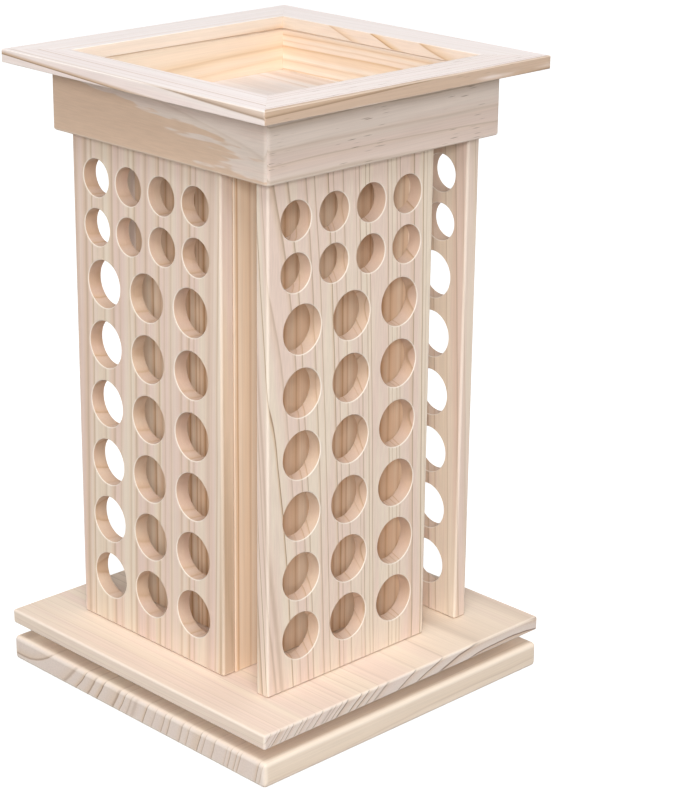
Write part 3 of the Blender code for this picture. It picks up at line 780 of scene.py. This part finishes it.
ball_mesh = grown_mesh(
    bpy.data.meshes.new("ball_ring"), caging, race=race_radius, ball=ball_radius, balls=BALL_COUNT,
    width=CAGE_WIDTH, thickness=CAGE_THICKNESS, finish=ball_steel,
)
ball_mesh.transform(Matrix.Translation((0.0, 0.0, ball_low.z + ball_radius)))
show("ball_ring_polished", ball_mesh, "ball_steel", "balls", "ball_ring")

# Upper bearing plate
# The same sheet steel, turned by an eighth so that its screws can be reached past the lower plate.
# A ring hangs from it round the outside of the balls, and four more screws hold it to the turntable.
CENTRE_HOLE = 30.0 * MM
upper_low, upper_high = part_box("bearing_upper_plate")
turntable_screws = [f"turntable_screw_{number}" for number in range(1, 5)]
upper_bottom = upper_high.z - SHEET
outer_race = race_radius + ball_radius + RUNNING_GAP
ring_middle = outer_race + SHEET / 2
upper_section = (
    [(CENTRE_HOLE + SHEET_EDGE, upper_high.z), (CENTRE_HOLE, upper_high.z - SHEET_EDGE)]
    + [(CENTRE_HOLE, upper_bottom + SHEET_EDGE), (CENTRE_HOLE + SHEET_EDGE, upper_bottom)]
    + bend((outer_race - BEND, upper_bottom - BEND), BEND, 90.0, 0.0)
    + bend((ring_middle, upper_low.z + SHEET / 2), SHEET / 2, 180.0, 360.0)
    + bend((outer_race + SHEET + BEND, upper_bottom - BEND), BEND, 180.0, 90.0)
)
upper_mesh = pressed_plate("bearing_upper_plate", plate_half, upper_bottom, upper_section)
upper_mesh.transform(Matrix.Rotation(QUARTER_TURN / 2, 4, "Z"))
upper_holes = screw_places(turntable_screws, upper_bottom + SHEET / 2)
upper_mesh = bored(upper_mesh, upper_holes, SCREW_HOLE, SHEET, SHEET_EDGE, SCREW_HOLE_SIDES)
show("bearing_upper_plate_pressed", upper_mesh, "zinc_steel", "rack", "bearing_upper_plate")

upward = Matrix.Rotation(math.pi, 4, "X")
upper_screw_low, upper_screw_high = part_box(turntable_screws[0])
upper_seat = upper_screw_low.z + HEAD_HEIGHT
upper_screw = wood_screw("turntable_screws", pan_head, SHEET, upper_screw_high.z - upper_seat)
upper_screw.transform(upward)
upper_screw_mesh = at_places(upper_screw, setting, screw_places(turntable_screws, upper_seat))
show("turntable_screws_pan_head", upper_screw_mesh, "zinc_steel", "rack", *turntable_screws)

# Turntable board
# A thinner pine square that turns on the bearing and carries everything above. The grain runs from
# front to back, so the front edge shows slanting ring ends, and its edges are lightly rounded.
TABLE_ROUND = 1.5 * MM
ROUND_STEPS = 5
TABLE_TONES = {"pale": "F0DFCC", "blush": "EDD6C8", "straw": "DABEA2", "line": "7C645C"}
SIDES = ("front", "right", "back", "left")
panel_screws = [f"panel_screw_{side}_{end}" for side in SIDES for end in ("outer", "inner")]
table_low, table_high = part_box("turntable_board")
table_pine = pine(
    "turntable_board_pine", "Y", (90.0, -160.0), near=190.0, ring=11.0, crowd=0.0012, wave=2.5,
    lines=0.25, ends=1.6, tones=TABLE_TONES, seed=8.1,
)
table_mesh = eased_board("turntable_board", table_pine, table_low, table_high, TABLE_ROUND, ROUND_STEPS)
table_pilots = screw_places(turntable_screws, table_low.z)
table_pilot_depth = upper_screw_high.z - table_low.z
table_mesh = bored(table_mesh, table_pilots, PILOT_HOLE, 2 * table_pilot_depth, 0.0, PILOT_SIDES)
# The countersinking bit reaches well past the upper face, so that it flares at the lower one alone
sink_length = 4 * (table_high.z - table_low.z)
sink_places = screw_places(panel_screws, table_low.z + sink_length / 2)
sink_depth = HEAD_RADIUS - SCREW_RADIUS + RUNNING_GAP
table_mesh = bored(table_mesh, sink_places, SCREW_HOLE, sink_length, sink_depth, SCREW_HOLE_SIDES)
show("turntable_board_sanded", table_mesh, "board_pine", "rack", "turntable_board")

# Panel screws
# Flat-head screws go up through the turntable board into the ends of the drilled panels. Their heads
# lie in countersinks under the board.
flat_head = [(0.0, 0.0), (HEAD_RADIUS, 0.0), (CORE_RADIUS, CORE_RADIUS - HEAD_RADIUS)]
panel_screw_low, panel_screw_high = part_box(panel_screws[0])
panel_screw_neck = table_high.z - panel_screw_low.z
panel_screw = wood_screw(
    "panel_screws", flat_head, panel_screw_neck, panel_screw_high.z - panel_screw_low.z
)
panel_screw.transform(upward)
panel_screw_mesh = at_places(panel_screw, setting, screw_places(panel_screws, panel_screw_low.z))
show("panel_screws_flat_head", panel_screw_mesh, "zinc_steel", "rack", *panel_screws)

# Drilled panels
# Four pine boards stand in a pinwheel, each bored with two rows of holes for small bottles and six
# for large ones. They are bored lying flat, their rims eased with paper, and then stood on end.
LARGE_HOLE = 30.0 * MM
LARGE_SIDES = 64
LARGE_ROW_PITCH = 38.5 * MM
LARGE_COLUMN_PITCH = 39.7 * MM
LARGE_ROWS, LARGE_COLUMNS = 6, 3
SMALL_HOLE = 23.5 * MM
SMALL_SIDES = 56
SMALL_ROW_PITCH = 30.6 * MM
SMALL_COLUMN_PITCH = 30.0 * MM
SMALL_ROWS, SMALL_COLUMNS = 2, 4
HOLE_TOP_MARGIN = 14.0 * MM
GROUP_BRIDGE = 7.8 * MM
RIM_EASE = 0.5 * MM
PANEL_ROUND = 1.5 * MM
panel_low, panel_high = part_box("panel_front")
panel_thickness = panel_high.y - panel_low.y
panel_middle = (panel_low.x + panel_high.x) / 2
apron_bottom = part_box("apron_front")[0].z
small_top = apron_bottom - HOLE_TOP_MARGIN - SMALL_HOLE / 2
large_top = small_top - SMALL_ROW_PITCH - SMALL_HOLE / 2 - GROUP_BRIDGE - LARGE_HOLE / 2


def hole_places(top, rows, row_pitch, columns, column_pitch):
    """Places of a block of holes on the panel as it lies, with its height along Y."""
    first = panel_middle - column_pitch * (columns - 1) / 2
    return [
        (first + column_pitch * column, top - row_pitch * row, panel_thickness / 2)
        for row in range(rows) for column in range(columns)
    ]


small_places = hole_places(small_top, SMALL_ROWS, SMALL_ROW_PITCH, SMALL_COLUMNS, SMALL_COLUMN_PITCH)
large_places = hole_places(large_top, LARGE_ROWS, LARGE_ROW_PITCH, LARGE_COLUMNS, LARGE_COLUMN_PITCH)
standing = Matrix.Translation((0.0, panel_high.y, 0.0)) @ Matrix.Rotation(QUARTER_TURN, 4, "X")
panel_pilots = screw_places([node for node in panel_screws if "front" in node], panel_low.z)
panel_pilot_depth = panel_screw_high.z - panel_low.z
# Narrow late wood, which shows as thin lines
THIN_YEAR = (
    (0.0, 0.1, 0.0), (0.05, 0.0, 0.0), (0.68, 0.03, 0.0), (0.84, 0.7, 0.08), (0.95, 1.0, 1.0),
    (1.0, 0.1, 0.0),
)
# Wide years whose late wood fades in and out, with hardly a line
SOFT_YEAR = (
    (0.0, 0.5, 0.1), (0.2, 0.0, 0.0), (0.5, 0.1, 0.0), (0.75, 0.7, 0.0), (0.92, 1.0, 0.5),
    (1.0, 0.5, 0.1),
)
panel_logs = {
    "front": dict(
        heart=(-98.0, -62.0), lean=(0.0, 0.075), ring=5.6, wave=3.0, lines=1.0, ends=1.2,
        year=THIN_YEAR,
    ),
    "right": dict(heart=(60.0, 30.0), lean=(0.02, 0.03), ring=6.5, wave=2.0, lines=0.6),
    "back": dict(heart=(-20.0, -30.0), lean=(0.02, 0.06), ring=6.0, wave=2.5, lines=0.7),
    "left": dict(
        heart=(-200.0, -60.0), lean=(0.02, 0.0), ring=8.0, wave=4.0, lines=0.8, blush=1.0,
        year=SOFT_YEAR,
    ),
}
for number, side in enumerate(SIDES):
    turn = QUARTER_TURN * number
    finish = pine(f"panel_{side}_pine", "Z", turn=turn, seed=11.3 + 5.1 * number, **panel_logs[side])
    panel_mesh = eased_board(
        f"panel_{side}", finish, (panel_low.x, panel_low.z, 0.0),
        (panel_high.x, panel_high.z, panel_thickness), PANEL_ROUND, ROUND_STEPS,
    )
    panel_mesh = bored(panel_mesh, small_places, SMALL_HOLE, panel_thickness, RIM_EASE, SMALL_SIDES)
    panel_mesh = bored(panel_mesh, large_places, LARGE_HOLE, panel_thickness, RIM_EASE, LARGE_SIDES)
    panel_mesh.transform(standing)
    panel_mesh = bored(panel_mesh, panel_pilots, PILOT_HOLE, 2 * panel_pilot_depth, 0.0, PILOT_SIDES)
    panel_mesh.transform(Matrix.Rotation(turn, 4, "Z"))
    show(f"drilled_panel_{side}", panel_mesh, "panel_pine", "rack", f"panel_{side}")

# Partitions
# Four plain boards stand round a square core behind the panels and stop the bottles. They stand in
# shade, and their tones are partly painted browner and warmer, as painted shade and bounced light,
# and more strongly striped.
# Partition tones, partly painted browner and warmer as painted shade and bounced light in the bays
SHADED_COREWOOD = {"pale": "F0DAC2", "blush": "EACBAE", "straw": "DDB488", "line": "9A684A"}
GLUE_LINE = 0.04 * MM
PARTITION_EASE = 0.5 * MM
EASE_STEPS = 2
partition_low, partition_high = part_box("partition_front")
# Each partition is glued with its edge against the back of the next panel
partition_low.x = panel_high.y + GLUE_LINE
for number, side in enumerate(SIDES):
    turn = QUARTER_TURN * number
    finish = pine(
        f"partition_{side}_pine", "Z", (-150.0 - 40.0 * number, -70.0), ring=7.5, wave=2.0, lines=1.0,
        blush=1.0, tones=SHADED_COREWOOD, year=SOFT_YEAR, turn=turn, seed=31.9 + 3.3 * number,
    )
    mesh = eased_board(
        f"partition_{side}", finish, partition_low, partition_high, PARTITION_EASE, EASE_STEPS
    )
    mesh.transform(Matrix.Rotation(turn, 4, "Z"))
    show(f"partition_{side}_sanded", mesh, "core_pine", "rack", f"partition_{side}")

# Tray floor
# A square board of sanded pine that closes the top of the core and the bays. It lies on the ends of
# the panels and partitions, inside the apron, and is glued to them.
# Warmer tones for the inner faces of the back and right aprons and rails: painted light bounced inside
# the tray
WARM_BOUNCE_TONES = {"pale": "F0E1D1", "blush": "EED8C6", "straw": "E6C7A2", "line": "C0966C"}
PEACH_BOUNCE_TONES = {"pale": "F0E0CC", "blush": "EED8C1", "straw": "E6C9A2", "line": "C0966C"}
FLOOR_TONES = {"pale": "EAE3DF", "blush": "E9DDD8", "straw": "E3D0C0", "line": "C2A284"}
FLOOR_EASE = 0.4 * MM
floor_low, floor_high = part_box("tray_floor")
floor_pine = pine(
    "tray_floor_pine", "Y", (40.0, 330.0), lean=(0.05, 0.02), ring=9.0, wave=3.0, lines=0.7,
    tones=FLOOR_TONES, year=SOFT_YEAR, seed=52.4,
)
floor_mesh = eased_board("tray_floor", floor_pine, floor_low, floor_high, FLOOR_EASE, EASE_STEPS)
show("tray_floor_sanded", floor_mesh, "board_pine", "rack", "tray_floor")

# Apron
# Four pine boards on edge make the wall of the tray. They are mitred and glued at the corners, which
# are rounded over together with the lower edge.
MITRE_SEAM = 0.03 * MM
CORNER_STEPS = 5
RAIL_ROUND_STEPS = 4
# How near to an upright face at 45 degrees a face is to count as a mitre
MITRE_NEAR = 0.01


def mitred_rail(name, finish, outer, inner, corner, low, high, ease):
    """The front rail of a square frame, with mitred ends, a rounded corner and eased long edges."""
    inset = outer - corner
    angles = [math.radians(-90.0 + 45.0 * step / CORNER_STEPS) for step in range(CORNER_STEPS + 1)]
    right = [(inset + corner * math.cos(a) - MITRE_SEAM, -inset + corner * math.sin(a)) for a in angles]
    left = [(-x, y) for x, y in reversed(right)]
    back = [(inner - MITRE_SEAM, -inner), (MITRE_SEAM - inner, -inner)]

    def draw(drawn):
        eased = drawn.faces.layers.float.new("eased")
        corners = [drawn.verts.new((x, y, low)) for x, y in left + right + back]
        foot = drawn.faces.new(corners)
        raised = bmesh.ops.extrude_face_region(drawn, geom=[foot])["geom"]
        tops = [part for part in raised if isinstance(part, bmesh.types.BMVert)]
        bmesh.ops.translate(drawn, verts=tops, vec=(0.0, 0.0, high - low))
        bmesh.ops.recalc_face_normals(drawn, faces=drawn.faces[:])
        drawn.normal_update()
        mitres = {
            face for face in drawn.faces
            if abs(abs(face.normal.x) - abs(face.normal.y)) < MITRE_NEAR
            and abs(face.normal.z) < MITRE_NEAR and face.calc_center_median().y > -inset
        }
        long_edges = [
            edge for edge in drawn.edges
            if abs(edge.verts[0].co.z - edge.verts[1].co.z) < ease and mitres.isdisjoint(edge.link_faces)
        ]
        rounded = bmesh.ops.bevel(
            drawn, geom=long_edges, offset=ease, segments=RAIL_ROUND_STEPS, profile=0.5, affect="EDGES"
        )
        for face in rounded["faces"]:
            face[eased] = EDGE_WEAR
    return mesh_from(name, finish, draw)


APRON_CORNER = 3.0 * MM
APRON_ROUND = 1.5 * MM
APRON_TONES = {
    "pale": "E8D9CD", "blush": "E6CFC2", "straw": "DAC2A4", "line": "96795C", "heart": "DBBCA0",
}
apron_low, apron_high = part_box("apron_front")
rim_low, rim_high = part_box("rim_front")
apron_logs = {
    "front": dict(
        heart=(-60.0, 340.0), lean=(0.012, 0.012), ring=7.0, wave=4.0, lines=0.5, flecks=0.9,
        tones=APRON_TONES, seed=61.7,
    ),
    # The right and back boards show their inner faces, painted warmer as painted light bounced inside
    # the tray
    "right": dict(
        heart=(-30.0, 280.0), lean=(0.05, 0.03), wave=3.0, lines=1.1, tones=WARM_BOUNCE_TONES, year=SOFT_YEAR,
        seed=67.1,
    ),
    "back": dict(
        heart=(30.0, 300.0), lean=(0.02, 0.0), ring=7.0, wave=3.0, lines=0.9, tones=PEACH_BOUNCE_TONES,
        year=SOFT_YEAR, seed=71.5,
    ),
    "left": dict(
        heart=(-41.5, 355.0), lean=(0.079, 0.0), ring=11.0, wave=2.0, lines=0.2, heartwood=58.5,
        tones=APRON_TONES, seed=76.4,
    ),
}
for number, side in enumerate(SIDES):
    turn = QUARTER_TURN * number
    finish = pine(f"apron_{side}_pine", "X", turn=turn, **apron_logs[side])
    mesh = mitred_rail(
        f"apron_{side}", finish, -apron_low.y, -apron_high.y, APRON_CORNER, apron_low.z,
        rim_low.z - GLUE_LINE, APRON_ROUND,
    )
    mesh.transform(Matrix.Rotation(turn, 4, "Z"))
    show(f"apron_{side}_sanded", mesh, "board_pine", "rack", f"apron_{side}")

# Rim
# Four flat pine rails, glued on the apron, overhang it all round. They are mitred at the corners, and
# their growth rings run as fine lines along each rail.
RIM_CORNER = 1.0 * MM
RIM_ROUND = 0.6 * MM
RIM_TONES = {"pale": "F4E8E1", "blush": "F2E0D9", "straw": "CFB092", "line": "8C7058", "heart": "C6A78B"}
# Broad late wood, which slants across the edges of the left and right rails
BROAD_YEAR = (
    (0.0, 0.1, 0.0), (0.04, 0.0, 0.0), (0.66, 0.0, 0.0), (0.84, 0.8, 0.0), (0.91, 1.0, 0.2),
    (0.96, 1.0, 1.0), (1.0, 0.1, 0.0),
)
rim_logs = {
    "front": dict(
        heart=(-300.0, 442.0), lean=(-0.006, 0.0), ring=2.6, wave=0.4, lines=1.1, tops=0.5, flecks=0.8,
        heartwood=191.3, flames=3.0, tones=RIM_TONES, year=THIN_YEAR, seed=83.2,
    ),
    # The right and back rails show their inner lips, painted warmer as painted bounce light, and their
    # upper faces painted near white as a painted sheen
    "right": dict(
        heart=(60.0, 420.0), lean=(0.0625, 0.0), near=-2.5, ring=4.5, wave=1.0, lines=1.2, tops=0.15,
        tones=WARM_BOUNCE_TONES, year=BROAD_YEAR, seed=84.5,
    ),
    "back": dict(
        heart=(60.0, 455.0), lean=(-0.015, 0.0), lines=1.0, tops=0.15, tones=WARM_BOUNCE_TONES,
        year=THIN_YEAR, seed=83.8,
    ),
    "left": dict(
        heart=(35.0, 475.0), lean=(-0.0243, 0.0), near=6.2, wave=0.8, lines=1.2, tops=0.4,
        tones=RIM_TONES, year=BROAD_YEAR, seed=71.52,
    ),
}
for number, side in enumerate(SIDES):
    turn = QUARTER_TURN * number
    finish = pine(f"rim_{side}_pine", "X", turn=turn, **rim_logs[side])
    mesh = mitred_rail(
        f"rim_{side}", finish, -rim_low.y, -rim_high.y, RIM_CORNER, rim_low.z, rim_high.z, RIM_ROUND
    )
    mesh.transform(Matrix.Rotation(turn, 4, "Z"))
    show(f"rim_{side}_sanded", mesh, "board_pine", "rack", f"rim_{side}")

# Floor and backdrop
# A plain pale paper ground that keeps the rack's shadow, in a plain studio. The camera and mirrors see
# both as white, while the light that they throw on the rack is weaker.
GROUND_SIDES = 96
GROUND_RADIUS = 9.0
GROUND_GREY = "A6A6A6"
SHADOW_GREY = "AAAAAA"
WHITE = "FFFFFF"
PAPER_GLOW = 0.9
STUDIO_LIGHT = 0.2
bpy.ops.mesh.primitive_circle_add(vertices=GROUND_SIDES, radius=GROUND_RADIUS, fill_type="NGON")
ground = bpy.context.object
ground.name = "ground"


def seen_by_camera(tree):
    """A node that gives 1 where the camera looks, directly, in a mirror or through glass."""
    ray = add(tree, "ShaderNodeLightPath").outputs
    direct = add(
        tree, "ShaderNodeMath", {0: ray["Is Camera Ray"], 1: ray["Is Glossy Ray"]}, operation="MAXIMUM"
    )
    return add(tree, "ShaderNodeMath", {0: direct, 1: ray["Is Transmission Ray"]}, operation="MAXIMUM")


ground_paper, tree = new_finish("ground_paper")
seen = seen_by_camera(tree)
matt = add(tree, "ShaderNodeBsdfDiffuse", {"Color": linear(GROUND_GREY)})
shadowed = add(tree, "ShaderNodeBsdfDiffuse", {"Color": linear(SHADOW_GREY)})
glow = add(tree, "ShaderNodeEmission", {"Strength": PAPER_GLOW})
paper = add(tree, "ShaderNodeAddShader", {0: shadowed, 1: glow})
both = add(tree, "ShaderNodeMixShader", {0: seen, 1: matt, 2: paper})
add(tree, "ShaderNodeOutputMaterial", {0: both})
ground.data.materials.append(ground_paper)

world = bpy.data.worlds.new("studio")
bpy.context.scene.world = world
world.use_nodes = True
tree = world.node_tree
tree.nodes.clear()
level = add(tree, "ShaderNodeMapRange", {"Value": seen_by_camera(tree), 3: STUDIO_LIGHT})
sky = add(tree, "ShaderNodeBackground", {"Color": linear(WHITE), "Strength": level})
add(tree, "ShaderNodeOutputWorld", {0: sky})

# Studio light
# A soft box behind the camera, close to its line of sight, reaches into the bays and holes. A wider one
# stands high up, and two weak ones light the sides that the camera doesn't see.
LIGHT_TARGET = Vector((0.0, 0.0, 0.2))


def direction(azimuth, elevation):
    """The direction from the rack towards a lamp or a camera, from its angles in degrees."""
    a, e = math.radians(azimuth), math.radians(elevation)
    return Vector((math.sin(a) * math.cos(e), -math.cos(a) * math.cos(e), math.sin(e)))


def soft_box(name, azimuth, elevation, distance, size, power):
    """A square area light that faces the middle of the rack, with its distance and size in metres."""
    back = direction(azimuth, elevation)
    lamp = bpy.data.lights.new(name, "AREA")
    lamp.size = size
    lamp.energy = power
    made = placed(name, lamp)
    made.location = LIGHT_TARGET + back * distance
    made.rotation_euler = back.to_track_quat("Z", "Y").to_euler()


soft_box("front_soft_box", azimuth=-44.6, elevation=21.0, distance=3.2, size=0.8, power=57.0)
soft_box("upper_soft_box", azimuth=-44.0, elevation=58.0, distance=2.8, size=1.4, power=43.0)
soft_box("right_soft_box", azimuth=80.0, elevation=20.0, distance=3.2, size=1.4, power=18.0)
soft_box("rear_soft_box", azimuth=190.0, elevation=20.0, distance=3.2, size=1.4, power=18.0)

# Camera
# It looks at the corner between the front and the left side, from a little above, at the photograph's
# angle and distance. Its angles are in degrees, and its lens is in millimetres.
CAMERA_AZIMUTH = -44.64
CAMERA_ELEVATION = 19.66
CAMERA_ROLL = 0.64
CAMERA_DISTANCE = 1433.7 * MM
CAMERA_LENS = 102.5
CAMERA_TARGET = Vector((28.5, -28.2, 179.7)) * MM
camera_back = direction(CAMERA_AZIMUTH, CAMERA_ELEVATION)
lens = bpy.data.cameras.new("camera")
lens.lens = CAMERA_LENS
camera = placed("camera", lens)
facing = camera_back.to_track_quat("Z", "Y").to_matrix().to_4x4()
camera.matrix_world = (
    Matrix.Translation(CAMERA_TARGET + camera_back * CAMERA_DISTANCE)
    @ facing @ Matrix.Rotation(math.radians(CAMERA_ROLL), 4, "Z")
)
bpy.context.scene.camera = camera
bpy.context.scene.view_settings.view_transform = "Standard"
